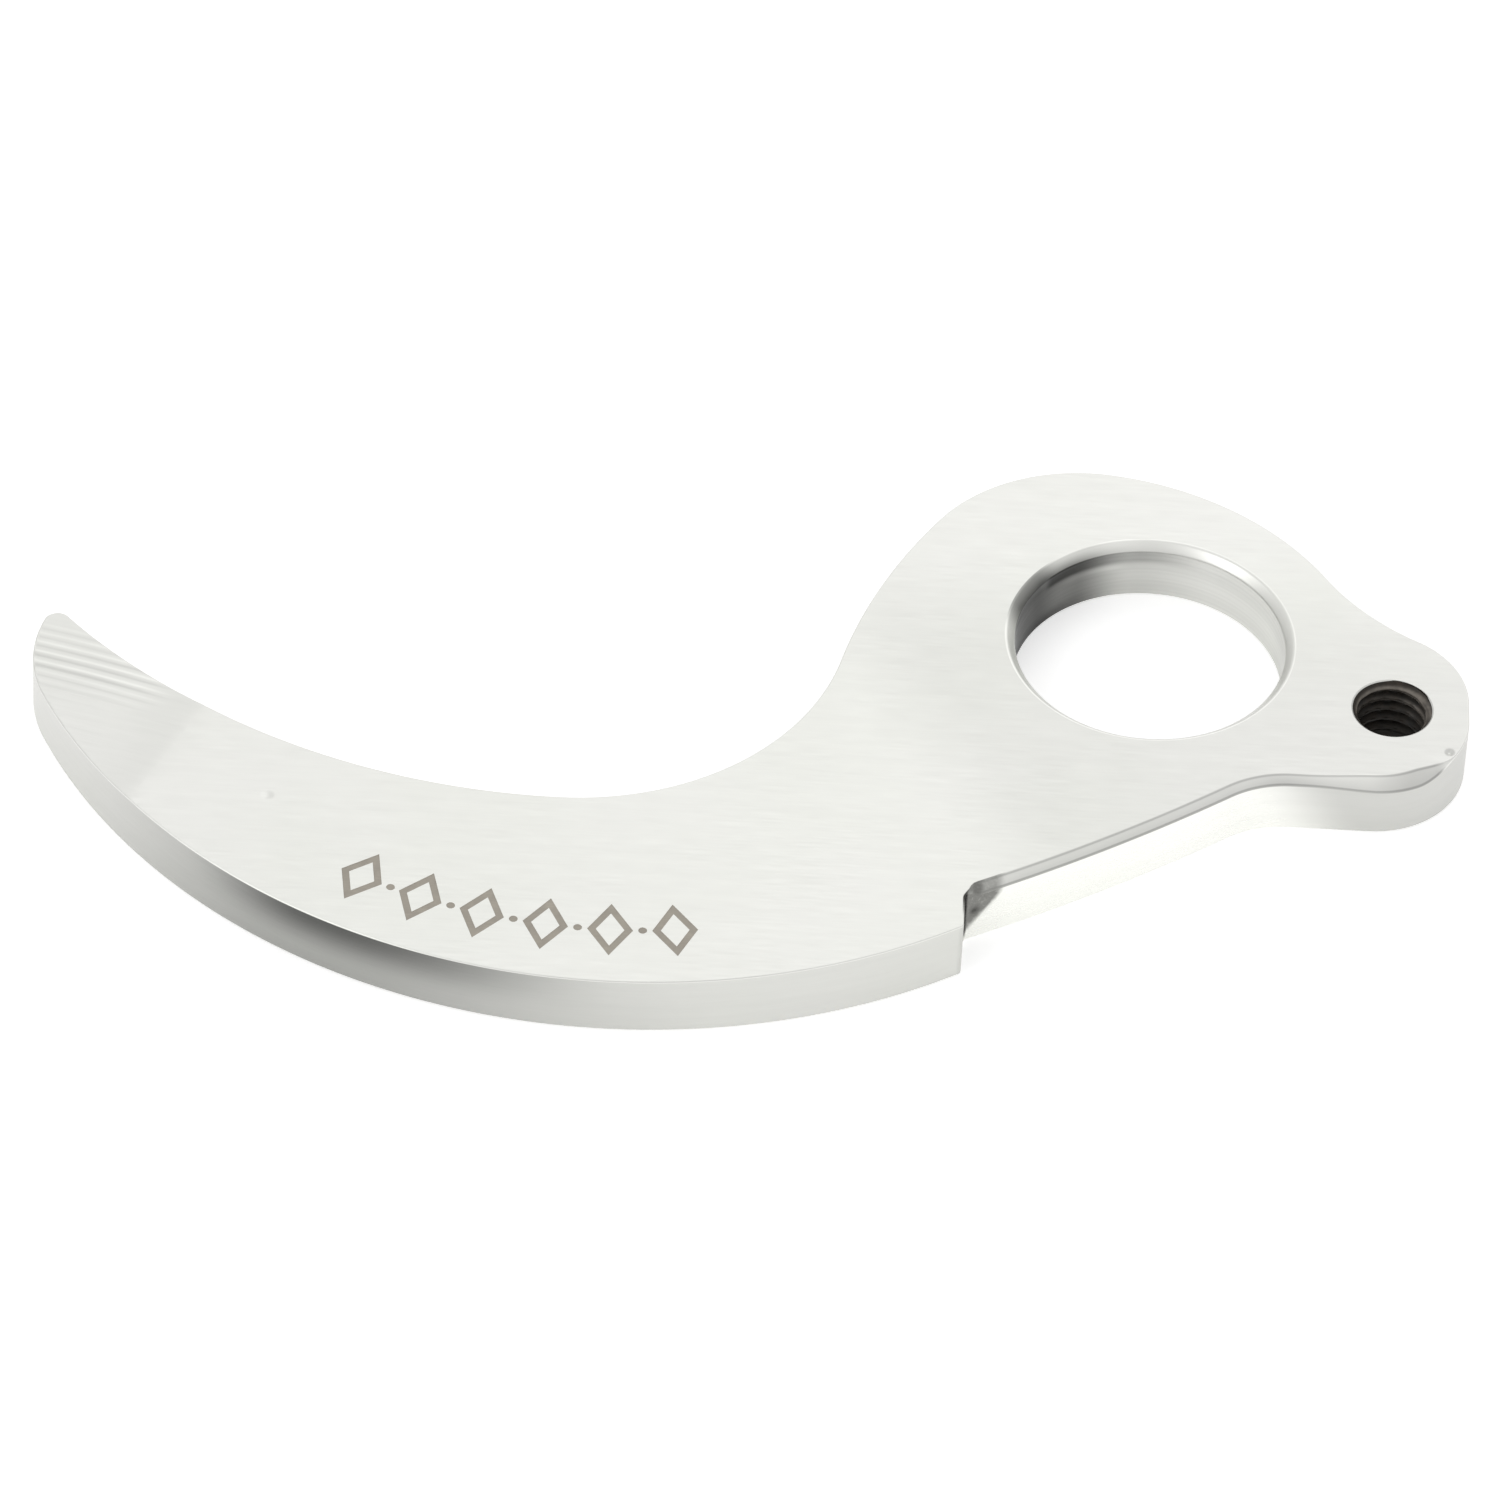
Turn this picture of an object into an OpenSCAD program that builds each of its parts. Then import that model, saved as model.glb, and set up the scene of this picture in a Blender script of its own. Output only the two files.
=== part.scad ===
// Fixed hook blade of a bypass cutter, ground from one piece of steel plate.
// The origin is on the pivot bore's axis, in the plane of the underside. The hook points to -X.

/* [Plate] */
// Thickness of the plate
plate_t = 5; // [4:0.1:6]

/* [Pivot bore] */
// Radius of the pivot bore
bore_r = 10; // [9:0.1:10.5]
// Size of the 45 degree chamfer round the top of the bore
bore_chamfer = 0.6; // [0.2:0.05:1]

/* [Screw hole] */
// Radius of the tapped hole at the crests of its M6 thread
screw_r = 2.5; // [2:0.05:3]
// Size of the 45 degree countersink at the top of the tapped hole
screw_chamfer = 0.5; // [0.2:0.05:0.7]
// Distance from the bore's axis to the tapped hole, along X
screw_x = 17.85; // [17:0.05:18.5]
// Distance from the bore's axis to the tapped hole, along Y
screw_y = -6.05; // [-7:0.05:-5]

/* [Hook] */
// X of the deepest point of the hook's inner edge
throat_x = -42.8; // [-44:0.1:-42]
// Y of the deepest point of the hook's inner edge
throat_y = -19.8; // [-21:0.1:-19]
// Radius of the inner edge, from the throat to the tip
jaw_r = 49; // [48:0.5:52]
// Radius of the inner edge, from the throat towards the pivot
throat_r = 20.6; // [20:0.1:21.5]
// Radius of the front of the shank, between the throat and the crown
shank_r = 48; // [40:1:70]
// Radius of the hook's back
back_r = 47; // [46:0.1:48]
// X of the centre of the hook's back
back_x = -38.5; // [-39:0.1:-38]
// Y of the centre of the hook's back
back_y = 8.7; // [8:0.1:9.2]
// Radius of the outer side of the tip
flank_r = 11; // [9:0.5:14]
// X of the hook's far end
tip_x = -82; // [-83:0.1:-81.5]
// Radius of the point of the hook
nose_r = 1; // [0.6:0.1:1.5]

/* [Tip relief] */
// Length of the ground relief on the top of the tip, along X from the far end to the inner edge
relief_l = 13; // [9:0.1:16]
// Slope of the relief
relief_slope = 2.3; // [1:0.1:4]
// Turn of the line where the relief starts, from the Y axis
relief_turn = 25; // [10:1:40]

/* [Head] */
// Radius of the front of the crown
crown_r = 13.4; // [12.5:0.1:14]
// X of the centre of the front of the crown
crown_x = -4.7; // [-5.5:0.1:-4]
// Y of the centre of the front of the crown
crown_y = 4.3; // [3.5:0.1:5]
// Radius of the rear of the crown
crown_rear_r = 22.4; // [21:0.1:24]
// Direction in which the two radii of the crown meet
crown_turn = 83; // [75:1:88]
// Radius of the hollow between the crown and the lug
neck_r = 19; // [14:0.5:24]

/* [Lug] */
// Radius of the lug's corners
lug_r = 7.1; // [6.6:0.1:7.5]
// X of the centres of the lug's corners
lug_x = 16.4; // [16:0.1:17]
// Y of the centre of the lug's lower corner
lug_y = -7; // [-8:0.1:-6.5]
// Length of the straight side between the lug's corners
lug_flat = 2; // [0.5:0.1:3]

/* [Rear edge] */
// X of the stop face at the heel
heel_x = -13.1; // [-15:0.1:-12]
// Radius of the inside corner at the stop face
heel_r = 0.8; // [0.5:0.1:2]
// Radius of the rear edge
rear_r = 151; // [140:1:170]
// X of the centre of the rear edge
rear_x = -83.2; // [-84:0.1:-82.5]
// Y of the centre of the rear edge
rear_y = 106.2; // [105.5:0.1:107]
// Radius of the hollow between the rear edge and the lug
bend_r = 7.4; // [5:0.1:10]
// Size of the 45 degree chamfer along the rear edge and round the lug
edge_chamfer = 0.7; // [0.3:0.05:1]

/* [Hidden] */
$fn = 180;
// Overlap of a chamfer's cutter with the edges that it meets
eps = 0.01;
// Overlap that keeps cutters and slices from ending on a face
clear = 0.5;
// How far one arc runs past the place where it would only touch the next one, so that they cross
nip = 0.002;
// How far a slice runs past the end of its chord, on a large arc and on a small one
lap = 1;
nose_lap = 0.2;

// Point at distance r from c in direction a
function polar(c, r, a) = c + r * [cos(a), sin(a)];

// Direction from p to q
function heading(p, q) = atan2(q[1] - p[1], q[0] - p[0]);

// Point at distance r1 from c1 and r2 from c2, on the left of the line from c1 to c2
function corner(c1, r1, c2, r2) =
    let (d = norm(c2 - c1), a = acos((r1 * r1 - r2 * r2 + d * d) / (2 * d * r1)))
    polar(c1, r1, heading(c1, c2) + a);

// Point at distance r from c on the vertical line at x, above the centre with side 1 and below it with -1
function on_vertical(c, r, x, side) = [x, c[1] + side * sqrt(r * r - (x - c[0]) * (x - c[0]))];

// Point at distance r from c on the horizontal line at y, right of the centre
function on_level(c, r, y) = [c[0] + sqrt(r * r - (y - c[1]) * (y - c[1])), y];

// Centres of the arcs that make the outline
jaw_c = [throat_x, throat_y + jaw_r];
throat_c = [throat_x, throat_y + throat_r - nip];
back_c = [back_x, back_y];
flank_c = on_vertical(back_c, back_r - flank_r + nip, tip_x + flank_r, -1);
nose_c = corner(flank_c, flank_r - nose_r + nip, jaw_c, jaw_r + nose_r - nip);
crown_c = [crown_x, crown_y];
crown_rear_c = polar(crown_c, crown_r - crown_rear_r - nip, crown_turn);
shank_c = corner(crown_c, shank_r - crown_r + nip, throat_c, throat_r + shank_r - nip);
lug_c = [lug_x, lug_y];
lug_top_c = lug_c + [0, lug_flat];
neck_c = corner(crown_rear_c, crown_rear_r + neck_r - nip, lug_top_c, lug_r + neck_r - nip);
lug_side_x = lug_x + lug_r - nip;
lug_bottom_y = lug_y - lug_r + nip;
rear_c = [rear_x, rear_y];
bend_c = on_level(rear_c, rear_r + bend_r - nip, lug_bottom_y - bend_r + nip);
heel_c = on_vertical(rear_c, rear_r + heel_r - nip, heel_x + heel_r - nip, -1);

// Points where the arcs meet, counter-clockwise from the tip
nose_flank = polar(flank_c, flank_r, heading(flank_c, nose_c));
flank_back = polar(back_c, back_r, heading(back_c, flank_c));
back_heel = on_vertical(back_c, back_r - clear, heel_x, -1);
heel_stop = [heel_x, heel_c[1]];
heel_rear = polar(rear_c, rear_r, heading(rear_c, heel_c));
rear_bend = polar(rear_c, rear_r, heading(rear_c, bend_c));
bend_lug = [bend_c[0], lug_bottom_y];
lug_bottom = [lug_x, lug_bottom_y];
lug_side = [lug_side_x, lug_y];
lug_side_top = [lug_side_x, lug_top_c[1]];
lug_neck = polar(lug_top_c, lug_r, heading(lug_top_c, neck_c));
neck_crown = polar(crown_rear_c, crown_rear_r, heading(crown_rear_c, neck_c));
crown_top = polar(crown_rear_c, crown_rear_r, crown_turn);
crown_shank = polar(shank_c, shank_r, heading(shank_c, crown_c));
shank_throat = polar(shank_c, shank_r, heading(shank_c, throat_c));
throat = [throat_x, throat_y];
jaw_nose = polar(nose_c, nose_r, heading(nose_c, jaw_c));

// Strip across the chord from p to q, reaching inwards to the left of it and outwards to the right,
// and past its ends by before and after
module strip(p, q, inwards, outwards, before, after) {
    translate(p) rotate(heading(p, q)) translate([-before, -outwards])
        square([before + norm(q - p) + after, inwards + outwards]);
}

// Slice between an arc and its chord, where the outline bulges out
module bulge(c, r, p, q, before = 0, after = 0) {
    intersection() {
        translate(c) circle(r = r);
        strip(p, q, clear, r, before, after);
    }
}

// Slice between an arc and its chord, where the outline is hollow
module hollow(c, r, p, q, before = 0, after = 0) {
    intersection() {
        translate(c) circle(r = r);
        strip(p, q, r, clear, before, after);
    }
}

// Plan of the whole plate, without its holes
module outline() {
    difference() {
        union() {
            polygon([
                nose_flank, flank_back, back_heel, heel_stop, heel_rear, rear_bend, bend_lug, lug_bottom,
                lug_side, lug_side_top, lug_neck, neck_crown, crown_top, crown_shank, shank_throat, throat,
                jaw_nose
            ]);
            bulge(flank_c, flank_r, nose_flank, flank_back, 0, clear);
            bulge(back_c, back_r, flank_back, back_heel, 0, lap);
            bulge(rear_c, rear_r, heel_rear, rear_bend);
            bulge(lug_c, lug_r, lug_bottom, lug_side, clear, clear);
            bulge(lug_top_c, lug_r, lug_side_top, lug_neck, clear, 0);
            bulge(crown_rear_c, crown_rear_r, neck_crown, crown_top);
            bulge(crown_c, crown_r, crown_top, crown_shank, lap, lap);
            bulge(shank_c, shank_r, crown_shank, shank_throat);
            bulge(nose_c, nose_r, jaw_nose, nose_flank, 0, nose_lap);
        }
        hollow(heel_c, heel_r, heel_stop, heel_rear, nose_lap, nose_lap);
        hollow(bend_c, bend_r, rear_bend, bend_lug, clear, clear);
        hollow(neck_c, neck_r, lug_neck, neck_crown, lap, lap);
        hollow(throat_c, throat_r, shank_throat, throat, lap, lap);
        hollow(jaw_c, jaw_r, throat, jaw_nose, 0, lap);
        translate([heel_x, back_heel[1] - 2 * lap]) square([2 * lap, 3 * lap]);
    }
}

// Section that takes a 45 degree chamfer off an edge at radius r, on the side away from the centre
module chamfer_outer(r) {
    polygon([
        [r - edge_chamfer - eps, plate_t + eps], [r + eps, plate_t - edge_chamfer - eps],
        [r + clear, plate_t - edge_chamfer - eps], [r + clear, plate_t + clear],
        [r - edge_chamfer - eps, plate_t + clear]
    ]);
}

// The same section for an edge whose centre is outside the plate
module chamfer_inner(r) {
    polygon([
        [r + edge_chamfer + eps, plate_t + eps], [r - eps, plate_t - edge_chamfer - eps],
        [r - clear, plate_t - edge_chamfer - eps], [r - clear, plate_t + clear],
        [r + edge_chamfer + eps, plate_t + clear]
    ]);
}

// Turns a section about the centre c, from direction a0 to a1
module swept(c, a0, a1) {
    translate([c[0], c[1], 0]) rotate([0, 0, a0]) rotate_extrude(angle = a1 - a0) children();
}

// What the chamfer takes off the rear edge, the bend and the lug
module edge_chamfer_cut() {
    rear_start = heading(rear_c, heel_rear);
    rear_end = heading(rear_c, rear_bend);
    swept(rear_c, rear_start, rear_end) chamfer_outer(rear_r);
    swept(bend_c, 90, rear_end + 180) chamfer_inner(bend_r);
    translate([bend_c[0], lug_y, 0]) rotate([90, 0, 90]) linear_extrude(lug_x - bend_c[0])
        mirror([1, 0]) chamfer_outer(lug_r);
    swept(lug_c, -90, 0) chamfer_outer(lug_r);
}

// Half space above the relief, which falls from its start line towards the tip
module relief_cut() {
    start = on_vertical(jaw_c, jaw_r, tip_x + relief_l, -1);
    size = 60;
    translate([start[0], start[1], plate_t]) rotate([0, 0, -relief_turn]) rotate([0, -relief_slope, 0])
        translate([-size, -size / 2, 0]) cube([size, size, size / 4]);
}

// A through hole of radius r at p, with a 45 degree chamfer c at its top
module bored(p, r, c) {
    translate([p[0], p[1], -clear]) cylinder(r = r, h = plate_t + 2 * clear);
    translate([p[0], p[1], plate_t - c]) cylinder(r1 = r, r2 = r + c + eps, h = c + eps);
}

module hook() {
    color([0.86, 0.86, 0.85]) difference() {
        linear_extrude(plate_t) outline();
        bored([0, 0], bore_r, bore_chamfer);
        bored([screw_x, screw_y], screw_r, screw_chamfer);
        edge_chamfer_cut();
        relief_cut();
    }
}

hook();
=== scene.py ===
"""The hook blade of bypass shears, in detail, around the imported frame.

The plate is one mesh: a stack of rings round its outline, its pivot bore and its tapped hole, closed
by two triangulated faces. Lengths in the mesh code are in millimetres, in the frame's own axes, and
turn into metres at the end. The scene around it is in metres.
"""

import math

import bpy
import numpy as np
from mathutils import Euler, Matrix, Vector, geometry, kdtree


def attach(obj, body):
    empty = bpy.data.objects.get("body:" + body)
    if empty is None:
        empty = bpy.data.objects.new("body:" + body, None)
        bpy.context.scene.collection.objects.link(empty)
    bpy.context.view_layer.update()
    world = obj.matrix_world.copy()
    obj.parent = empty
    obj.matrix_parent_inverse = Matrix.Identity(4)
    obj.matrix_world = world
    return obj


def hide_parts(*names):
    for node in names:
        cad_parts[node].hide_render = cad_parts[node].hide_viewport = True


MM = 0.001

# The plate's driving dimensions, as in the CAD source
PLATE_T = 5.0
BORE_R, BORE_CHAMFER = 10.0, 0.6
SCREW_R, SCREW_CHAMFER, SCREW_P = 2.5, 0.5, (17.85, -6.05)
THROAT, JAW_R, THROAT_R, SHANK_R = (-42.8, -19.8), 49.0, 20.6, 48.0
BACK_C, BACK_R = (-38.5, 8.7), 47.0
FLANK_R, TIP_X, NOSE_R = 11.0, -82.0, 1.0
RELIEF_L, RELIEF_SLOPE, RELIEF_TURN = 13.0, 2.3, 25.0
CROWN_C, CROWN_R, CROWN_REAR_R, CROWN_TURN = (-4.7, 4.3), 13.4, 22.4, 83.0
NECK_R = 19.0
LUG_C, LUG_R, LUG_FLAT = (16.4, -7.0), 7.1, 2.0
HEEL_X, HEEL_R = -13.1, 0.8
REAR_C, REAR_R, BEND_R = (-83.2, 106.2), 151.0, 7.4

# What only the finished surface has. A pair is where a change starts and where it is complete.
CORNER_R = 0.3  # the corner between the hook's back and the stop face
DEBURR = 0.16  # chamfer round the underside
CRISP = 0.06  # chamfer on the edges of the top face that were left sharp
REAR_CHAMFER = (0.54, 0.85)  # chamfer along the rear edge, at the heel and at the lug
REAR_WIDENS = (11.5, 17.0)  # where along x it goes from one width to the other
REAR_STARTS = (HEEL_X + 0.1, HEEL_X + 1.1)  # where along x it starts at the heel
REAR_ENDS = (-62.0, -30.0)  # where it ends round the lug, in degrees
EASE_SHARE, EASE_MAX = 0.4, 0.14  # rounding of a chamfer's two edges: a share of its width, and its most
GROOVE_Z, GROOVE_H, GROOVE_D = 3.85, 0.9, 0.04  # ring cut in the bore under its chamfer
THREAD_PITCH, THREAD_ROOT_R, THREAD_PHASE = 1.0, 3.0, 0.24
THREAD_FLAT, THREAD_FLANK = 0.125, 0.3  # half of a crest and the width of a flank, in pitches
BURR, BURR_Z = 0.3, (0.12, 0.4)  # how far the tap's burr narrows the hole at the underside, and its heights

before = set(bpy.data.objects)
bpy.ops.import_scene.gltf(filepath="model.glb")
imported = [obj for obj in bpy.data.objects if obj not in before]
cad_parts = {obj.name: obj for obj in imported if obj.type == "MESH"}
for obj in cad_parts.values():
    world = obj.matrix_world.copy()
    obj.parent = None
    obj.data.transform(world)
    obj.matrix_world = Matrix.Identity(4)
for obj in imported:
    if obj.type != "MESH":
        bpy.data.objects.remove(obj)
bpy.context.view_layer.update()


def polar(c, r, a):
    """Point at distance r from c in direction a, in degrees."""
    return (c[0] + r * math.cos(math.radians(a)), c[1] + r * math.sin(math.radians(a)))


def heading(p, q):
    return math.degrees(math.atan2(q[1] - p[1], q[0] - p[0]))


def corner(c1, r1, c2, r2):
    """Point at distance r1 from c1 and r2 from c2, on the left of the line from c1 to c2."""
    d = math.dist(c1, c2)
    turn = math.degrees(math.acos((r1 * r1 - r2 * r2 + d * d) / (2 * d * r1)))
    return polar(c1, r1, heading(c1, c2) + turn)


def on_vertical(c, r, x, side):
    return (x, c[1] + side * math.sqrt(r * r - (x - c[0]) ** 2))


def outline_arcs():
    """The outline's arcs, counter-clockwise from the tip.

    Each is (name, centre, radius, +1 bulging or -1 hollow or 0 straight, end point).
    """
    jaw_c = (THROAT[0], THROAT[1] + JAW_R)
    throat_c = (THROAT[0], THROAT[1] + THROAT_R)
    flank_c = on_vertical(BACK_C, BACK_R - FLANK_R, TIP_X + FLANK_R, -1)
    nose_c = corner(flank_c, FLANK_R - NOSE_R, jaw_c, JAW_R + NOSE_R)
    crown_rear_c = polar(CROWN_C, CROWN_R - CROWN_REAR_R, CROWN_TURN)
    shank_c = corner(CROWN_C, SHANK_R - CROWN_R, throat_c, THROAT_R + SHANK_R)
    lug_top_c = (LUG_C[0], LUG_C[1] + LUG_FLAT)
    neck_c = corner(crown_rear_c, CROWN_REAR_R + NECK_R, lug_top_c, LUG_R + NECK_R)
    bend_y = LUG_C[1] - LUG_R - BEND_R
    bend_c = (REAR_C[0] + math.sqrt((REAR_R + BEND_R) ** 2 - (bend_y - REAR_C[1]) ** 2), bend_y)
    heel_c = on_vertical(REAR_C, REAR_R + HEEL_R, HEEL_X + HEEL_R, -1)
    stop_c = on_vertical(BACK_C, BACK_R - CORNER_R, HEEL_X - CORNER_R, -1)
    return [
        ("flank", flank_c, FLANK_R, 1, polar(BACK_C, BACK_R, heading(BACK_C, flank_c))),
        ("back", BACK_C, BACK_R, 1, polar(BACK_C, BACK_R, heading(BACK_C, stop_c))),
        ("corner", stop_c, CORNER_R, 1, (HEEL_X, stop_c[1])),
        ("stop", None, 0, 0, (HEEL_X, heel_c[1])),
        ("heel", heel_c, HEEL_R, -1, polar(REAR_C, REAR_R, heading(REAR_C, heel_c))),
        ("rear", REAR_C, REAR_R, 1, polar(REAR_C, REAR_R, heading(REAR_C, bend_c))),
        ("bend", bend_c, BEND_R, -1, (bend_c[0], LUG_C[1] - LUG_R)),
        ("lug_bottom", None, 0, 0, (LUG_C[0], LUG_C[1] - LUG_R)),
        ("lug", LUG_C, LUG_R, 1, (LUG_C[0] + LUG_R, LUG_C[1])),
        ("lug_side", None, 0, 0, (lug_top_c[0] + LUG_R, lug_top_c[1])),
        ("lug_top", lug_top_c, LUG_R, 1, polar(lug_top_c, LUG_R, heading(lug_top_c, neck_c))),
        ("neck", neck_c, NECK_R, -1, polar(crown_rear_c, CROWN_REAR_R, heading(crown_rear_c, neck_c))),
        ("crown_rear", crown_rear_c, CROWN_REAR_R, 1, polar(crown_rear_c, CROWN_REAR_R, CROWN_TURN)),
        ("crown", CROWN_C, CROWN_R, 1, polar(shank_c, SHANK_R, heading(shank_c, CROWN_C))),
        ("shank", shank_c, SHANK_R, 1, polar(shank_c, SHANK_R, heading(shank_c, throat_c))),
        ("throat", throat_c, THROAT_R, -1, THROAT),
        ("jaw", jaw_c, JAW_R, -1, polar(nose_c, NOSE_R, heading(nose_c, jaw_c))),
        ("nose", nose_c, NOSE_R, 1, polar(flank_c, FLANK_R, heading(flank_c, nose_c))),
    ]


def sample_outline(step=0.3, turn=7.0):
    """Points, outward normals and arc names along the outline, at most step mm or turn degrees apart."""
    arcs = outline_arcs()
    points, normals, names = [], [], []
    start = arcs[-1][4]
    for name, c, r, side, end in arcs:
        if side == 0:
            length = math.dist(start, end)
            n = max(1, math.ceil(length / step))
            along = ((end[0] - start[0]) / length, (end[1] - start[1]) / length)
            for i in range(n):
                t = length * i / n
                points.append((start[0] + along[0] * t, start[1] + along[1] * t))
                normals.append((along[1], -along[0]))
                names.append(name)
        else:
            a0, a1 = heading(c, start), heading(c, end)
            sweep = (a1 - a0) % 360 if side > 0 else -((a0 - a1) % 360)
            n = max(2, math.ceil(abs(sweep) / turn), math.ceil(math.radians(abs(sweep)) * r / step))
            for i in range(n):
                a = a0 + sweep * i / n
                points.append(polar(c, r, a))
                normals.append(polar((0, 0), side, a))
                names.append(name)
        start = end
    return np.array(points), np.array(normals), names


def rise(x, span):
    """0 before the span's start, 1 past its end, and smooth between them."""
    low, high = span
    t = np.clip((np.asarray(x, float) - low) / (high - low), 0, 1)
    return t * t * (3 - 2 * t)


def fall(x, span):
    """1 before the span's start, and 0 past its end."""
    return 1 - rise(x, span)


def bell(x, middle, width):
    """1 in the middle, and falling off to both sides over about the width."""
    return np.exp(-(((x - middle) / width) ** 2))


RELIEF_START = on_vertical((THROAT[0], THROAT[1] + JAW_R), JAW_R, TIP_X + RELIEF_L, -1)


def past_crease(xy):
    """How far points lie past the line where the ground relief starts, towards the tip."""
    a = math.radians(RELIEF_TURN)
    return (xy[:, 0] - RELIEF_START[0]) * -math.cos(a) + (xy[:, 1] - RELIEF_START[1]) * math.sin(a)


def relief_depth(xy):
    """How far the ground relief lowers the top face."""
    return np.maximum(0, past_crease(xy)) * math.tan(math.radians(RELIEF_SLOPE))


GRIND_TURN = -15.6  # direction of the grinding marks on the relief
GRIND_BOW, GRIND_BOW_AT = 0.004, -78  # how much they bow, and where along them
GRIND_AT, GRIND_PITCH = -31.85, 0.95  # the first strong mark's place across them, and the spacing
GRIND_STRAY, GRIND_STEP = 0.06, 5.1  # how far strong marks stray from the spacing
GROOVE_SHARES = (0.25, 0.5, 1.0, 1.0, 0.8, 0.5, 0.35)  # how strong each strong mark is
GRIND_GROOVE_W, GRIND_GROOVE_D = 0.11, 0.03
GRIND_LIP_AT, GRIND_LIP_W, GRIND_LIP_H = 0.44, 0.13, 0.02
STRONG_FROM = (2.0, 5.5)  # how far past the crease the strong marks start
COMB = ((0.23, 0.0016), (0.37, 0.0022), (0.61, 0.0025), (1.13, 0.003))  # fine marks: pitch and depth
COMB_SHIFT, COMB_SWAY, COMB_WAVE = 1.7, 0.9, 0.31  # phase from one pitch to the next, and their wander
COMB_FROM, COMB_DEEP, COMB_SHALLOW = (0.0, 1.2), (3.0, 9.0), 0.25


def turned_grain(xy):
    """Places along and across the grinding direction of the relief."""
    a = math.radians(GRIND_TURN)
    along = xy[:, 0] * math.cos(a) + xy[:, 1] * math.sin(a)
    across = -xy[:, 0] * math.sin(a) + xy[:, 1] * math.cos(a)
    return along, across


def across_grind(xy):
    """Places along and across the grinding marks, which bow a little."""
    along, across = turned_grain(xy)
    return along, across + GRIND_BOW * (along - GRIND_BOW_AT) ** 2


def strong_marks(xy):
    """The strong grinding marks, as grooves and as the lips beside them, each from 0 to 1."""
    _, bowed = across_grind(xy)
    grooves, lips = np.zeros(len(xy)), np.zeros(len(xy))
    for i, share in enumerate(GROOVE_SHARES):
        at = GRIND_AT + i * GRIND_PITCH + GRIND_STRAY * math.sin(GRIND_STEP * i)
        grooves += share * bell(bowed, at, GRIND_GROOVE_W)
        lips += share * bell(bowed, at + GRIND_LIP_AT, GRIND_LIP_W)
    near_tip = rise(past_crease(xy), STRONG_FROM)
    return grooves * near_tip, lips * near_tip


def grind_marks(xy):
    """Depth of the marks that grinding left: a few strong grooves and a comb of fine ones."""
    along, bowed = across_grind(xy)
    grooves, lips = strong_marks(xy)
    depth = GRIND_GROOVE_D * grooves - GRIND_LIP_H * lips
    for i, (pitch, fine) in enumerate(COMB):
        sway = COMB_SWAY * np.sin(COMB_WAVE * along + i)
        depth += fine * np.sin(2 * math.pi * bowed / pitch + COMB_SHIFT * i + sway)
    past = past_crease(xy)
    return depth * rise(past, COMB_FROM) * (COMB_SHALLOW + (1 - COMB_SHALLOW) * rise(past, COMB_DEEP))


# Knocks in the top face: place, radius and depth. One is on the hook, and one ends the rear chamfer.
DENT = ((-63.8, -21.2), 0.42, 0.05)
NICK = ((22.0, -10.35), 0.34, 0.16)
KNOCK_FALL = 1.6  # how steeply a knock's sides fall
KNOCK_LIP, KNOCK_LIP_AT, KNOCK_LIP_FALL = 0.12, 1.5, 6  # its lip: share of the depth, place, steepness


def dents(xy):
    """Depth of the two small knocks in the top face, with the lip that each raised."""
    depth = np.zeros(len(xy))
    for at, r, d in (DENT, NICK):
        t = np.hypot(xy[:, 0] - at[0], xy[:, 1] - at[1]) / r
        lip = KNOCK_LIP * np.exp(-((t - KNOCK_LIP_AT) ** 2) * KNOCK_LIP_FALL)
        depth += d * (np.exp(-(t**2) * KNOCK_FALL) - lip)
    return depth


def face_z(xy):
    """Height of the top face."""
    return np.minimum(PLATE_T, PLATE_T - relief_depth(xy) - grind_marks(xy) - dents(xy))


def chamfer_width(points, names):
    """Width of the chamfer round the top: wide along the rear edge, where it ends at the lug."""
    x, y = points.T
    rear = np.isin(names, ("stop", "heel", "rear", "bend", "lug_bottom", "lug"))
    wide = REAR_CHAMFER[0] + (REAR_CHAMFER[1] - REAR_CHAMFER[0]) * rise(x, REAR_WIDENS)
    round_lug = np.degrees(np.arctan2(y - LUG_C[1], x - LUG_C[0]))
    ending = np.where(np.isin(names, ("lug",)), fall(round_lug, REAR_ENDS), 1.0)
    return CRISP + np.where(rear, (wide - CRISP) * rise(x, REAR_STARTS) * ending, 0.0)


def chamfer_profile(w):
    """(inset, drop) of the rings of a chamfer of width w, from the wall to the face, with eased edges."""
    e = np.minimum(EASE_SHARE * w, EASE_MAX)
    s = e / math.sqrt(2)
    eased = (0.0, 0.33, 0.67, 1.0)
    rings = [(0 * w, w + e + 0.04)]
    rings += [(t * t * s, w + (1 - t) ** 2 * e - t * t * s) for t in eased]
    rings += [(w + t * t * e - (1 - t) ** 2 * s, (1 - t) ** 2 * s) for t in eased]
    return rings + [(w + e + 0.05, 0 * w)]


GROUND_STEEL, ETCHED_STEEL, BLACK_OXIDE = range(3)  # the mesh's materials, in order


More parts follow.
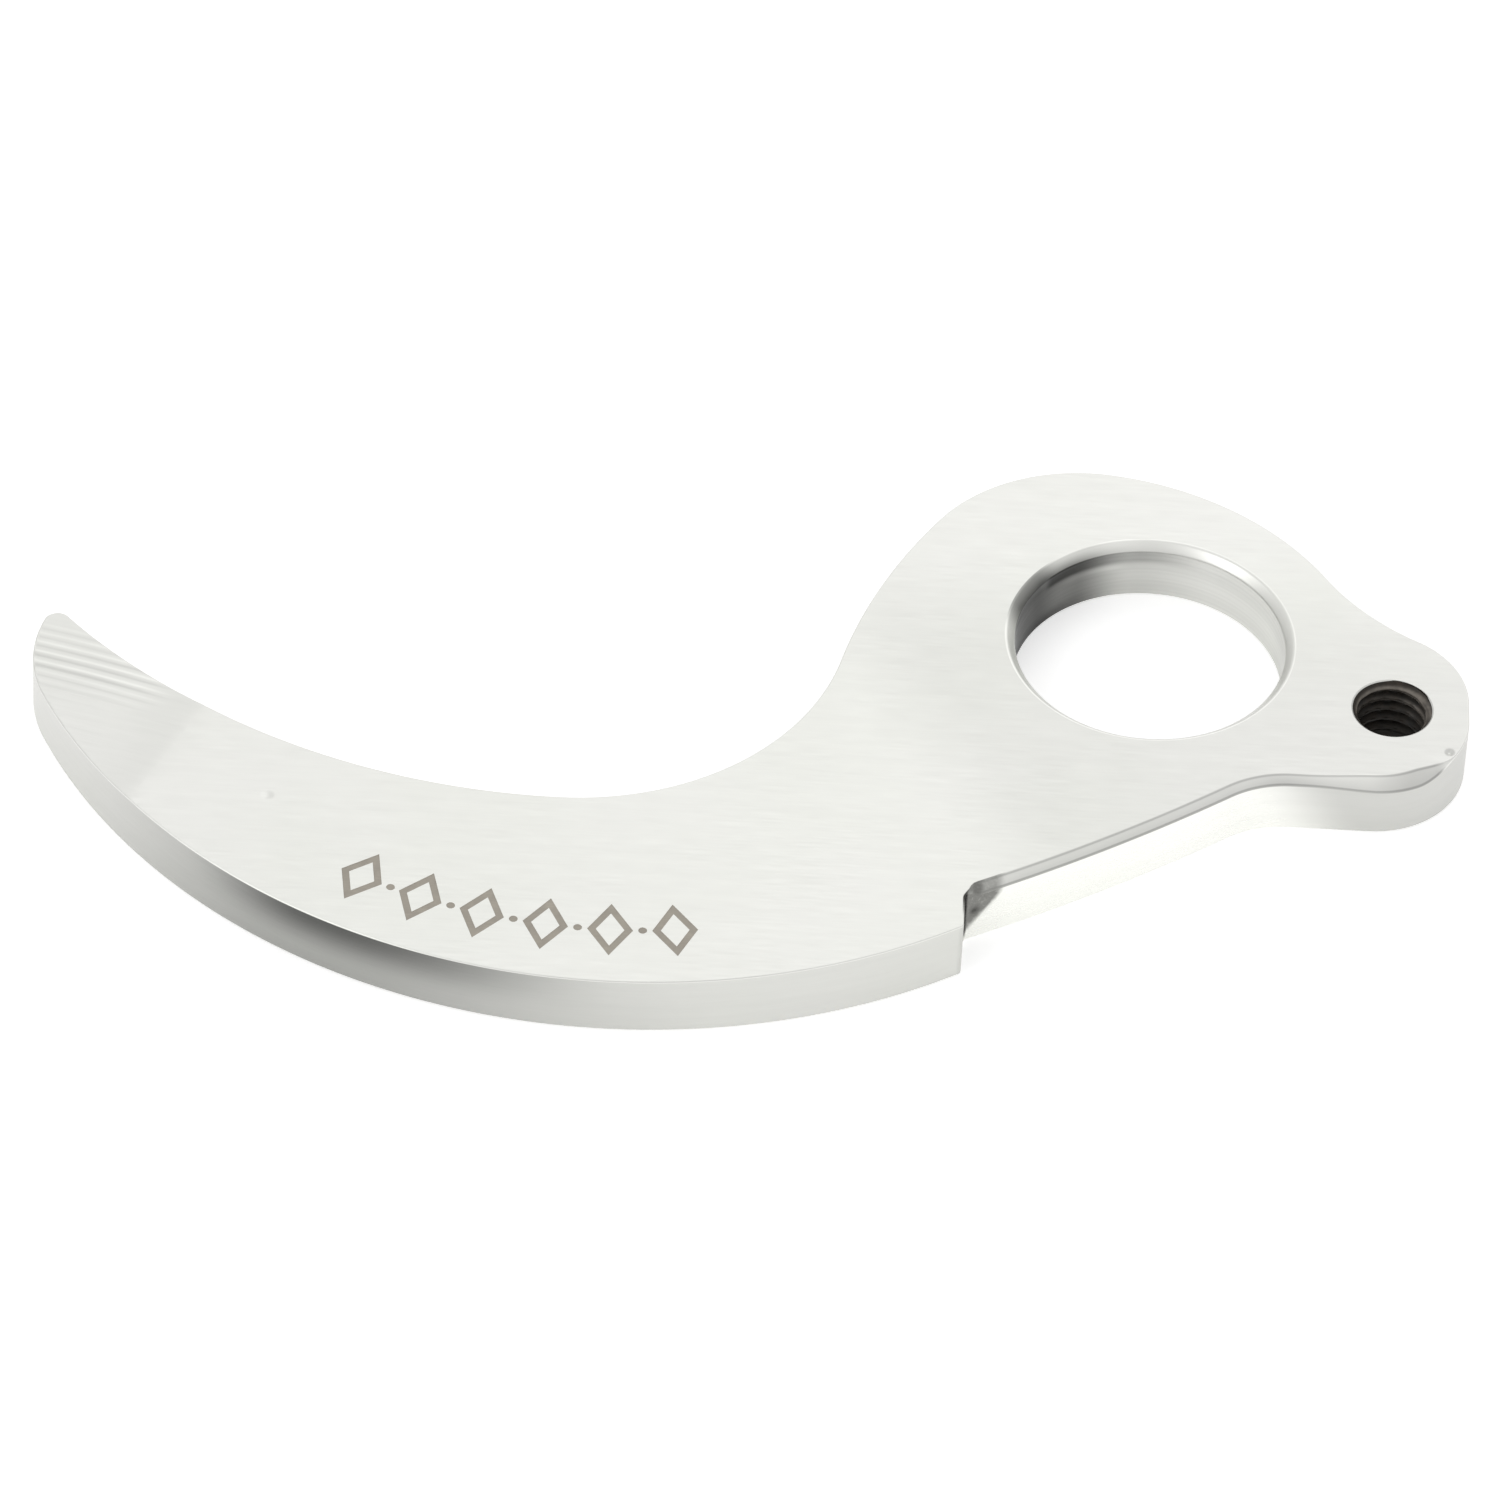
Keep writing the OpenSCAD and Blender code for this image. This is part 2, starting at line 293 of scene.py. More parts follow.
class Skin:
    """Collects the mesh: points with their finish, and faces with their grain coordinates and material."""

    def __init__(self):
        self.points, self.finish = [], []
        self.faces, self.grain, self.materials = [], [], []
        self.count = 0

    def add(self, points, tone=1.0, scale=0.0, gloss=0.0):
        """Adds points with their finish.

        tone darkens or brightens the steel, and also carries painted light and shade. scale is 0 to 1 for
        painted grey shade, and up to 2 for painted black shadow, in the heel's corner.
        gloss polishes the steel, and in the thread it is how far the oxide is worn and how strong the painted
        highlight is.
        """
        n = len(points)
        self.points.append(np.asarray(points, float))
        finish = [np.broadcast_to(np.asarray(v, float), n) for v in (tone, scale, gloss)]
        self.finish.append(np.stack(finish, 1))
        self.count += n
        return np.arange(self.count - n, self.count)

    def face(self, indices, grain, material=GROUND_STEEL):
        self.faces.append([int(i) for i in indices])
        self.grain.extend(grain)
        self.materials.append(material)

    def band(self, low, high, along, v_low, v_high, outward=True, material=GROUND_STEEL):
        """Closed band of quads between two rings.

        along gives each point's place on the ring, and then the ring's length.
        """
        n = len(low)
        for i in range(n):
            j = (i + 1) % n
            u0, u1 = along[i], along[i + 1]
            quad = [low[i], low[j], high[j], high[i]]
            grain = [(u0, v_low), (u1, v_low), (u1, v_high), (u0, v_high)]
            if not outward:
                quad, grain = quad[::-1], grain[::-1]
            self.face(quad, grain, material)


def ring_lengths(points):
    steps = np.linalg.norm(np.roll(points, -1, 0) - points, axis=1)
    return np.concatenate([[0], np.cumsum(steps)])


def circle_ring(c, r, n):
    a = np.arange(n) * 2 * math.pi / n
    return np.stack([c[0] + r * np.cos(a), c[1] + r * np.sin(a)], 1), a


# --- finish of the surfaces -----------------------------------------------------------------------

# Tones multiply the steel's brightness. A pair is where a change starts and where it is complete: in mm
# along an axis, or in degrees round the bore.
# The walls' lower tone is partly a finish of their own and partly painted shade.
FACE_TONE, WALL_TONE, CHAMFER_TONE = 1.0, 0.74, 1.0
STEEL = (FACE_TONE, 0.0, 0.0)  # plain ground steel

# Painted shade on the top face: darker towards the lug and the heel, and in a band past the crease. The
# strong marks get painted shade in their grooves and a painted highlight on their lips.
FACE_SHADE, FACE_SHADE_SLANT, FACE_SHADE_ACROSS, FACE_SHADE_UP = 0.085, 0.55, (-27, -17), (-4, 11)
CREASE_SHADE, CREASE_SHADE_IN, CREASE_SHADE_OUT = 0.045, (-0.4, 1.0), (1.5, 6.0)
MARK_SHADE_AND_HIGHLIGHT = 0.15


def face_tone(xy):
    """Tone of the top face: painted shade towards the lug and the heel and in a band past the crease, painted
    shade in the strong marks' grooves and a painted highlight on their lips.
    """
    x, y = xy.T
    shade_share = rise(x + FACE_SHADE_SLANT * y, FACE_SHADE_ACROSS) * fall(y, FACE_SHADE_UP)
    past = past_crease(xy)
    crease = rise(past, CREASE_SHADE_IN) * fall(past, CREASE_SHADE_OUT)
    grooves, lips = strong_marks(xy)
    tone = FACE_TONE * (1 - FACE_SHADE * shade_share) * (1 - CREASE_SHADE * crease)
    return tone * (1 - MARK_SHADE_AND_HIGHLIGHT * grooves + MARK_SHADE_AND_HIGHLIGHT * lips)


BACK_TONE = 1.1  # the hook's back, lighter than the other walls as painted light
# Painted shade on the hook's back: darker over a stretch of it, and on part of that stretch darkest towards
# its top edge.
BACK_SHADE, BACK_SHADE_IN, BACK_SHADE_OUT = 0.46, (-81, -62), (-60, -28)
BACK_TOP_SHADE, BACK_TOP_SHADE_IN, BACK_TOP_SHADE_OUT, BACK_TOP_SHADE_Z = 0.72, (-70, -60), (-58, -37), (1.2, 4.8)
REAR_HIGHLIGHT_TONE, POLISH_GLOSS = 1.12, 0.55  # the rear wall: a painted highlight in its tone, and polish in its gloss
POLISH_AND_HIGHLIGHT_OUT, POLISH_AND_HIGHLIGHT_LEAN = (7.5, 15.0), 0.6  # where along x the polish and the painted highlight end, and how their end leans


def wall_finish(xy, z, names):
    """Finish of the outer wall: painted shade along the hook's back, darkest towards its top edge, a painted
    highlight and polish along the rear, and the heel corner's painted shade.
    """
    x = xy[:, 0]
    shade_share = rise(x, BACK_SHADE_IN) * fall(x, BACK_SHADE_OUT)
    top_shade = rise(x, BACK_TOP_SHADE_IN) * fall(x, BACK_TOP_SHADE_OUT) * rise(z, BACK_TOP_SHADE_Z)
    back = (BACK_TONE - BACK_SHADE * shade_share) * (1 - BACK_TOP_SHADE * top_shade)
    tone = WALL_TONE * np.where(np.isin(names, ("back", "flank")), back, 1.0)
    rear = np.isin(names, ("heel", "rear", "bend", "lug_bottom"))
    rear = rear * fall(x + POLISH_AND_HIGHLIGHT_LEAN * (z - PLATE_T / 2), POLISH_AND_HIGHLIGHT_OUT)
    return tone + (REAR_HIGHLIGHT_TONE - tone) * rear, heel_painted_shade(xy, z, names), POLISH_GLOSS * rear


HEEL_Y = on_vertical(REAR_C, REAR_R + HEEL_R, HEEL_X + HEEL_R, -1)[1]  # inner end of the stop face
# Painted shade in the heel's inside corner: a grey triangle whose lower edge slants, and a black painted
# shadow along the corner with a dark spot beside it.
HEEL_SHADE_Z, HEEL_SHADE_SLOPE, HEEL_SHADE_BAND = 0.835, 1.15, (-0.2, 0.4)  # lower edge: height at the stop, slope, blur
HEEL_SHADE_OUT, HEEL_SHADE_AWAY = (HEEL_X + 2.2, HEEL_X + 3.0), (0.6, 1.9)  # where it ends on the wall, on the stop
HEEL_SHADOW_OUT, HEEL_SHADOW_AWAY, HEEL_SHADOW_Z = (HEEL_X + 0.112, HEEL_X + 0.28), (0.1, 0.5), (0.3, 1.2)
SPOT_X, SPOT_Z, SPOT_W, SPOT_H, SPOT_BLACK = HEEL_X + 0.8, 2.9, 0.3, 0.35, 0.7


def heel_painted_shade(xy, z, names):
    """Painted shade in the inside corner of the heel: a grey triangle, with black painted shadow (over 1) in
    the corner.
    """
    x, y = xy.T
    away = np.where(names == "stop", HEEL_Y - y, 0)
    lowest = HEEL_SHADE_Z + HEEL_SHADE_SLOPE * (x - HEEL_X)
    grey = rise(z - lowest, HEEL_SHADE_BAND) * fall(x, HEEL_SHADE_OUT) * fall(away, HEEL_SHADE_AWAY)
    line = fall(x, HEEL_SHADOW_OUT) * rise(z, HEEL_SHADOW_Z)
    spot = bell(x, SPOT_X, SPOT_W) * bell(z, SPOT_Z, SPOT_H)
    black = np.maximum(line, SPOT_BLACK * spot) * fall(away, HEEL_SHADOW_AWAY)
    return np.where(np.isin(names, ("heel", "rear", "stop")), grey + (2 - grey) * black, 0.0)


CHAMFER_WIDE = (0.2, 0.5)  # widths from which the chamfer has a finish of its own
CHAMFER_HIGHLIGHT, CHAMFER_HIGHLIGHT_FROM = 0.15, (9.0, 14.0)  # painted highlight: lighter towards the lug
CHAMFER_SHADE, CHAMFER_SHADE_FROM = 0.3, (16.0, 19.5)  # and painted shade: darker round it
# how far the heel corner's painted shade reaches onto the chamfer
CHAMFER_SHADE_SHARE, CHAMFER_HEEL, HEEL_COVER = 0.6, (HEEL_X + 0.9, HEEL_X + 1.5), 0.8
CHAMFER_EDGE_SHADES = (0.4, 0.55, 0.5, 0.15, 0.0, 0.22, 0.28, 0.1)  # how dark each ring is painted, as shade along the chamfer's eased edges


def chamfer_finish(xy, z, width, names, edge):
    """Finish of the outline's chamfer, with painted light and shade. edge is how far this ring is darkened by
    painted shade.
    """
    wide = rise(width, CHAMFER_WIDE)
    x = xy[:, 0]
    body = CHAMFER_TONE + CHAMFER_HIGHLIGHT * rise(x, CHAMFER_HIGHLIGHT_FROM) - CHAMFER_SHADE * rise(x, CHAMFER_SHADE_FROM)
    tone = FACE_TONE + (body * (1 - edge) - FACE_TONE) * wide
    heel = fall(x, CHAMFER_HEEL)
    share = (CHAMFER_SHADE_SHARE + (1 - CHAMFER_SHADE_SHARE) * heel) * np.maximum(wide, HEEL_COVER * heel)
    return tone, share * heel_painted_shade(xy, z, names), 0.0


BORE_TONE = 0.76
# Painted light and shade round the bore's wall, by angle and height: darker towards the far left, a darker
# ring in the groove at the top, a darker foot on the left, and a painted highlight band.
BORE_LIGHT_AND_SHADE_STEPS = ((0.1, (0, 30)), (-0.17, (60, 98)), (-0.47, (98, 124)), (-0.13, (130, 148)), (0.67, (165, 190)))
BORE_LEFT_IN, BORE_LEFT_OUT = (105, 150), (163, 182)
RING_SHADE_STEPS, RING_SHADE_OUT, RING_SHADE_Z = ((0.33, (65, 95)), (0.4, (100, 132))), (137, 142), (3.1, 3.55)
FOOT_SHADE, FOOT_SHADE_Z = 0.6, (0.3, 1.4)
WALL_HIGHLIGHT, WALL_HIGHLIGHT_Z, WALL_HIGHLIGHT_H, WALL_HIGHLIGHT_IN, WALL_HIGHLIGHT_OUT = 0.3, 3.0, 0.35, (98, 110), (124, 134)
TURNED, TURNED_WAVES = 0.06, (9.1, 23.7)  # faint rings left by the lathe


def steps(a, changes):
    """Sum of the changes in tone up to angle a."""
    return sum(by * rise(a, span) for by, span in changes)


def bore_wall_tone(a, z):
    """Tone of the bore's wall: painted shade on the left, painted shade in the ring at the top and at the
    foot, and a painted highlight.
    """
    tone = BORE_TONE + steps(a, BORE_LIGHT_AND_SHADE_STEPS)
    ring = steps(a, RING_SHADE_STEPS) * fall(a, RING_SHADE_OUT) * rise(z, RING_SHADE_Z)
    foot = FOOT_SHADE * rise(a, BORE_LEFT_IN) * fall(a, BORE_LEFT_OUT) * fall(z, FOOT_SHADE_Z)
    highlight = WALL_HIGHLIGHT * bell(z, WALL_HIGHLIGHT_Z, WALL_HIGHLIGHT_H) * rise(a, WALL_HIGHLIGHT_IN) * fall(a, WALL_HIGHLIGHT_OUT)
    turned = TURNED * math.sin(TURNED_WAVES[0] * z) * math.sin(TURNED_WAVES[1] * z + 1)
    return tone * (1 - ring) * (1 - foot) * (1 + highlight) * (1 + turned)


BORE_CHAMFER_TONE = 0.98
# Painted shade on the left of the bore's chamfer, and a painted highlight along its upper edge, brightest
# over a stretch of the far side.
RIM_SHADE_STEPS, RIM_SHADE_OUT = ((0.33, (95, 120)), (0.34, (132, 146))), (161, 179)
RIM_LOW_SHADE, RIM_LOW_SHADE_IN, RIM_LOW_SHADE_OUT, RIM_LOW_SHADE_LEFT = 0.26, (105, 128), (136, 150), 0.6
RIM_HIGHLIGHT, RIM_GLINT, RIM_GLINT_IN, RIM_GLINT_OUT = 0.14, 0.24, (90, 112), (128, 142)


def bore_chamfer_tone(a, z):
    """Tone of the bore's chamfer: painted shade on the left, and a painted highlight along its upper edge."""
    up = rise(z, (PLATE_T - BORE_CHAMFER, PLATE_T))
    low = rise(a, RIM_LOW_SHADE_IN) * (1 - RIM_LOW_SHADE_LEFT * rise(a, RIM_LOW_SHADE_OUT))
    rim_shade = (steps(a, RIM_SHADE_STEPS) + RIM_LOW_SHADE * (1 - up) * low) * fall(a, RIM_SHADE_OUT)
    bright = (RIM_HIGHLIGHT + RIM_GLINT * rise(a, RIM_GLINT_IN) * fall(a, RIM_GLINT_OUT)) * up
    return BORE_CHAMFER_TONE - rim_shade + bright


def bore_finish(a, z):
    """Finish round the bore, at angles a, at height z."""
    on_wall = z < PLATE_T - BORE_CHAMFER
    tone = bore_wall_tone if on_wall else bore_chamfer_tone
    return tone(np.degrees(a), z), 0.0, 0.0


# --- rings ----------------------------------------------------------------------------------------

FLAT_RIM = 0.08  # flat ring inside a rounded edge, which keeps the shading of the face flat
WALL_LEVELS = 11


def build_outer(skin):
    """The wall round the outline. Returns the innermost rings of the top and of the underside."""
    xy, normals, names = sample_outline()
    names = np.array(names)
    width = chamfer_width(xy, names)
    profile = chamfer_profile(width)
    top_z = PLATE_T - relief_depth(xy) - profile[0][1]
    foot = ((DEBURR + FLAT_RIM, 0.0), (DEBURR, 0.0), (0.03, DEBURR - 0.03), (0.0, DEBURR + 0.04))
    rings = [np.column_stack([xy - normals * inset, np.full(len(xy), z)]) for inset, z in foot]
    marks = [z for _, z in foot]
    for k in range(1, WALL_LEVELS + 1):
        z = foot[-1][1] + (top_z - foot[-1][1]) * k / WALL_LEVELS
        rings.append(np.column_stack([xy, z]))
        marks.append(float(np.mean(z)))
    walls = len(rings)
    for inset, drop in profile[1:]:
        p = xy - normals * np.asarray(inset)[:, None]
        on_edge = np.max(drop) > 0
        z = (PLATE_T - relief_depth(p) if on_edge else face_z(p)) - drop
        rings.append(np.column_stack([p, z]))
        marks.append(marks[-1] + 0.1)
    ids = []
    for k, ring in enumerate(rings):
        plan, z = ring[:, :2], ring[:, 2]
        if k == 0:
            finish = STEEL
        elif k < walls:
            finish = wall_finish(plan, z, names)
        elif k < walls + len(CHAMFER_EDGE_SHADES):
            finish = chamfer_finish(plan, z, width, names, CHAMFER_EDGE_SHADES[k - walls])
        else:
            finish = (face_tone(plan), 0.0, 0.0)
        ids.append(skin.add(ring, *finish))
    along = ring_lengths(xy)
    for low, high, v0, v1 in zip(ids, ids[1:], marks, marks[1:]):
        skin.band(low, high, along, v0, v1)
    return ids[-1], ids[0]


BORE_SIDES, BORE_LEVELS, GROOVE_LEVELS = 240, 18, 10


def bore_profile():
    """(radius, height) of the bore's rings, from the underside up: rounded foot, wall, groove and chamfer."""
    foot, groove = DEBURR + 0.05, GROOVE_Z - GROOVE_H / 2
    profile = [(BORE_R + DEBURR + FLAT_RIM, 0.0), (BORE_R + DEBURR, 0.0), (BORE_R, DEBURR), (BORE_R, foot)]
    for k in range(1, BORE_LEVELS + 1):
        profile.append((BORE_R, foot + (groove - foot) * k / BORE_LEVELS))
    for k in range(1, GROOVE_LEVELS):
        t = k / GROOVE_LEVELS
        profile.append((BORE_R + GROOVE_D * math.sin(math.pi * t) ** 1.2, groove + GROOVE_H * t))
    rim = chamfer_profile(np.array([BORE_CHAMFER]))
    return profile + [(BORE_R + float(inset[0]), PLATE_T - float(drop[0])) for inset, drop in rim]


def build_bore(skin):
    """The pivot bore. Returns the outermost rings of the top and of the underside."""
    unit, a = circle_ring((0, 0), 1.0, BORE_SIDES)
    profile = bore_profile()
    ids = []
    for k, (r, z) in enumerate(profile):
        p = unit * r
        height = np.full(len(p), z)
        if k == 0:
            finish = STEEL
        elif k < len(profile) - 1:
            finish = bore_finish(a, z)
        else:
            finish = (face_tone(p), 0.0, 0.0)
            height = face_z(p)
        ids.append(skin.add(np.column_stack([p, height]), *finish))
    marks = [z + (r - BORE_R) for r, z in profile]
    along = ring_lengths(unit * BORE_R)
    for low, high, v0, v1 in zip(ids, ids[1:], marks, marks[1:]):
        skin.band(low, high, along, v0, v1, outward=False)
    return ids[-1], ids[0]


def thread_radius(a, z):
    """Radius of the tapped hole at angle a and height z: flat crests and roots with flanks between."""
    phase = (z / THREAD_PITCH - a / (2 * math.pi) + THREAD_PHASE) % 1.0
    off_crest = np.abs(phase - 0.5)
    deep = np.clip((off_crest - THREAD_FLAT) / THREAD_FLANK, 0, 1)
    radius = SCREW_R + (THREAD_ROOT_R - SCREW_R) * deep
    radius = radius + (SCREW_R - BURR - radius) * fall(z, BURR_Z)
    return np.maximum(radius, SCREW_R + SCREW_CHAMFER - (PLATE_T - z))


# Partly worn oxide and partly painted highlight: a lighter rim along the mouth, and lighter crests, most
# towards +X.
MOUTH_Z, MOUTH_H, MOUTH_WEAR_AND_HIGHLIGHT = 4.6, 0.1, 0.6
CREST_WEAR_AND_HIGHLIGHT, CREST_SIDE_HIGHLIGHT = 0.12, 0.4
CREST_H, CREST_Z, CREST_SIDE = (0.25, 0.5), (2.0, 3.6), (0.1, 0.8)


def thread_wear_and_highlight(a, z, radius):
    """How far the oxide is worn off and how strong the painted highlight is: along the mouth's lower edge,
    and on the crests, most towards +X.
    """
    mouth = MOUTH_WEAR_AND_HIGHLIGHT * bell(z, MOUTH_Z, MOUTH_H)
    crest = rise(THREAD_ROOT_R - radius, CREST_H) * rise(z, CREST_Z)
    return np.maximum(mouth, crest * (CREST_WEAR_AND_HIGHLIGHT + CREST_SIDE_HIGHLIGHT * rise(np.cos(a), CREST_SIDE)))


THREAD_SIDES, THREAD_LEVELS = 96, 72
MOUTH_RINGS = ((0.005, -0.02), (0.03, 0.0), (0.1, 0.0))  # past the countersink's radius, past the face


def build_thread(skin):
    """The tapped hole's wall. Returns the outermost rings of the top and of the underside."""
    unit, a = circle_ring((0, 0), 1.0, THREAD_SIDES)
    rings = [(THREAD_ROOT_R + 0.06, 0.0), (THREAD_ROOT_R + 0.02, 0.0)]
    rings += [(None, PLATE_T * k / THREAD_LEVELS) for k in range(THREAD_LEVELS)]
    rings += [(SCREW_R + SCREW_CHAMFER + r, PLATE_T + z) for r, z in MOUTH_RINGS]
    ids = []
    for r, z in rings:
        radius = thread_radius(a, z) if r is None else np.full(len(a), r)
        wear_and_highlight = thread_wear_and_highlight(a, z, radius) if r is None else 0.0
        p = unit * radius[:, None] + np.array(SCREW_P)
        tone = face_tone(p) if z > 0 else FACE_TONE
        ids.append(skin.add(np.column_stack([p, np.full(len(p), z)]), tone, 0.0, wear_and_highlight))
    along = ring_lengths(unit * SCREW_R)
    last_dark = len(ids) - 1 - len(MOUTH_RINGS)
    for k, (low, high) in enumerate(zip(ids, ids[1:])):
        material = BLACK_OXIDE if 1 <= k < last_dark else GROUND_STEEL
        skin.band(low, high, along, rings[k][1], rings[k + 1][1], outward=False, material=material)
    return ids[-1], ids[0]


# --- etched mark ----------------------------------------------------------------------------------

MARK_R, MARK_FROM, MARK_TO = BACK_R - 5.2, 244.5, 276.5  # the arc that the mark follows, in degrees
MARK_COUNT = 6
LOZENGE_W, LOZENGE_H, STROKE, ETCH_D = 3.3, 5.2, 0.52, 0.03
DOT_R, DOT_SIDES = 0.32, 12


def on_mark_arc(loop, a):
    """A loop drawn round its own middle, moved to angle a of the mark's arc."""
    out, side = np.array(polar((0, 0), 1, a)), np.array(polar((0, 0), 1, a + 90))
    return [np.array(BACK_C) + out * (MARK_R + v) + side * u for u, v in loop]


def lozenge(w, h):
    return [(-w / 2, 0), (0, -h / 2), (w / 2, 0), (0, h / 2)]


def mark_shapes():
    """The etched figures, open lozenges with dots between: (outer loop, inner loop or None)."""
    shapes = []
    pitch = (MARK_TO - MARK_FROM) / (MARK_COUNT - 1)
    lean = 2 * STROKE * math.hypot(LOZENGE_W, LOZENGE_H)
    inner = lozenge(LOZENGE_W - lean / LOZENGE_H, LOZENGE_H - lean / LOZENGE_W)
    dot = [polar((0, 0), DOT_R, 360 / DOT_SIDES * k) for k in range(DOT_SIDES)]
    for i in range(MARK_COUNT):
        a = MARK_FROM + i * pitch
        shapes.append((on_mark_arc(lozenge(LOZENGE_W, LOZENGE_H), a), on_mark_arc(inner, a)))
        if i + 1 < MARK_COUNT:
            shapes.append((on_mark_arc(dot, a + pitch / 2), None))
    return shapes


def shrunk(loop, by):
    """A convex loop with each corner moved towards its middle, so that its sides move in by about by."""
    loop = np.array(loop)
    middle = loop.mean(0)
    sides = np.roll(loop, -1, 0) - loop
    reach = np.abs(sides[:, 0] * (loop - middle)[:, 1] - sides[:, 1] * (loop - middle)[:, 0])
    reach = (reach / np.linalg.norm(sides, axis=1)).min()
    return middle + (loop - middle) * (1 - by / reach)


def inside(loop, points):
    """Which points lie inside a closed loop."""
    x, y = points[:, 0], points[:, 1]
    hit = np.zeros(len(points), bool)
    for p, q in zip(loop, np.roll(loop, -1, 0)):
        if p[1] != q[1]:
            hit ^= ((p[1] > y) != (q[1] > y)) & (x < (q[0] - p[0]) * (y - p[1]) / (q[1] - p[1]) + p[0])
    return hit


# --- faces ----------------------------------------------------------------------------------------

def hexagons(low, high, step):
    """Points of a triangular grid that covers a box."""
    rows = np.arange(low[1], high[1] + step, step * math.sqrt(3) / 2)
    cols = np.arange(low[0], high[0] + step, step)
    lines = [np.column_stack([cols + (k % 2) * step / 2, np.full(len(cols), y)]) for k, y in enumerate(rows)]
    return np.concatenate(lines)


FACE_STEP, FACE_GAP = 1.6, 0.9  # grid of the plain face, and its least distance from other points
CREASE_STEP, CREASE_L, CREASE_GAP = 0.15, 14, 0.12
RELIEF_STEP, RELIEF_GAP = 0.095, 0.08
RELIEF_LOW, RELIEF_HIGH = (TIP_X, -24), (TIP_X + RELIEF_L + 6, -2)  # box round the relief
KNOCK_GRIDS = ((DENT, 1.0, 0.09), (NICK, 0.9, 0.08))  # knock, half width of its grid, and step
KNOCK_GAP = 0.05
UNDER_GAP = 0.8


def crease_points():
    """Points along the line where the relief starts."""
    a = math.radians(RELIEF_TURN)
    t = np.arange(CREASE_STEP, CREASE_L, CREASE_STEP)
    return np.column_stack([RELIEF_START[0] - math.sin(a) * t, RELIEF_START[1] - math.cos(a) * t])


def far_from(points, others, least):
    """The points that are at least that far from all the others."""
    tree = kdtree.KDTree(len(others))
    for i, p in enumerate(others):
        tree.insert((p[0], p[1], 0), i)
    tree.balance()
    return points[[tree.find((p[0], p[1], 0))[2] >= least for p in points]]


def top_points(loops, fixed):
    """Free points of the top face: fine on the relief and round the knocks, and coarse elsewhere."""
    outline = loops[0]
    coarse = hexagons(outline.min(0), outline.max(0), FACE_STEP)
    coarse = coarse[past_crease(coarse) < -0.5]
    fine = hexagons(RELIEF_LOW, RELIEF_HIGH, RELIEF_STEP)
    fine = fine[past_crease(fine) > 0.08]
    grids = []
    for (at, _, _), half, step in KNOCK_GRIDS:
        grids.append(np.array(at) + hexagons((-half, -half), (half, half), step))
    edge = np.concatenate(loops + [fixed])
    crease = far_from(crease_points(), edge, CREASE_GAP)
    knocks = far_from(np.concatenate(grids), edge, KNOCK_GAP)
    fine = far_from(fine, np.concatenate([edge, crease]), RELIEF_GAP)
    coarse = far_from(coarse, np.concatenate([edge, crease, fine, knocks]), FACE_GAP)
    return np.concatenate([crease, fine, knocks, coarse])


def within(loops, points):
    """Which points lie inside the first loop and outside all the others."""
    kept = inside(loops[0], points)
    for hole in loops[1:]:
        kept &= ~inside(hole, points)
    return kept


def triangulate(loops, free, extra_loops=()):
    """Triangles of the area inside the first loop and outside the others, over all the points in order."""
    rings = list(loops) + list(extra_loops)
    points = np.concatenate(rings + [free])
    edges, at = [], 0
    for ring in rings:
        n = len(ring)
        edges += [(at + i, at + (i + 1) % n) for i in range(n)]
        at += n
    made = geometry.delaunay_2d_cdt([Vector(p) for p in points], edges, [], 0, 1e-7)
    source = [ids[0] for ids in made[3]]
    triangles = np.array([[source[i] for i in face] for face in made[2]])
    triangles = triangles[within(loops, points[triangles].mean(1))]
    p, q, r = (points[triangles[:, k]] for k in range(3))
    area = (q[:, 0] - p[:, 0]) * (r[:, 1] - p[:, 1]) - (q[:, 1] - p[:, 1]) * (r[:, 0] - p[:, 0])
    triangles[area < 0] = triangles[area < 0][:, ::-1]
    return points, triangles[np.abs(area) > 1e-9]


def etched_loops(shapes):
    """The etched figures' loops, each with a smaller or larger one at its floor, and their depths."""
    loops, drops = [], []
    for outer, inner in shapes:
        for loop, by in ((outer, ETCH_D), (inner, -ETCH_D)):
            if loop is not None:
                loops += [np.array(loop), shrunk(loop, by)]
                drops += [np.zeros(len(loop)), np.full(len(loop), ETCH_D)]
    return loops, drops


def is_etched(shapes, points):
    """Which points lie in an etched stroke or dot."""
    hit = np.zeros(len(points), bool)
    for outer, inner in shapes:
        in_shape = inside(outer, points)
        hit |= in_shape if inner is None else in_shape & ~inside(inner, points)
    return hit


def build_top(skin, rings):
    """The top face inside the given rings, with the relief, the knocks and the etched mark."""
    every = np.concatenate(skin.points)
    loops = [every[ids][:, :2] for ids in rings]
    shapes = mark_shapes()
    etched, drops = etched_loops(shapes)
    free = top_points(loops, np.concatenate(etched))
    free = free[within(loops + [outer for outer, _ in shapes], free)]
    points, triangles = triangulate(loops, free, etched)
    own = points[sum(len(ids) for ids in rings):]
    drop = np.concatenate(drops + [np.zeros(len(free))])
    added = skin.add(np.column_stack([own, face_z(own) - drop]), face_tone(own))
    ids = np.concatenate(list(rings) + [added])
    middle = points[triangles].mean(1)
    on_relief = past_crease(middle) > 0
    for triangle, etch, relief in zip(triangles, is_etched(shapes, middle), on_relief):
        p = points[triangle]
        grain = np.column_stack(turned_grain(p)) if relief else p
        skin.face(ids[triangle], [tuple(g) for g in grain], ETCHED_STEEL if etch else GROUND_STEEL)


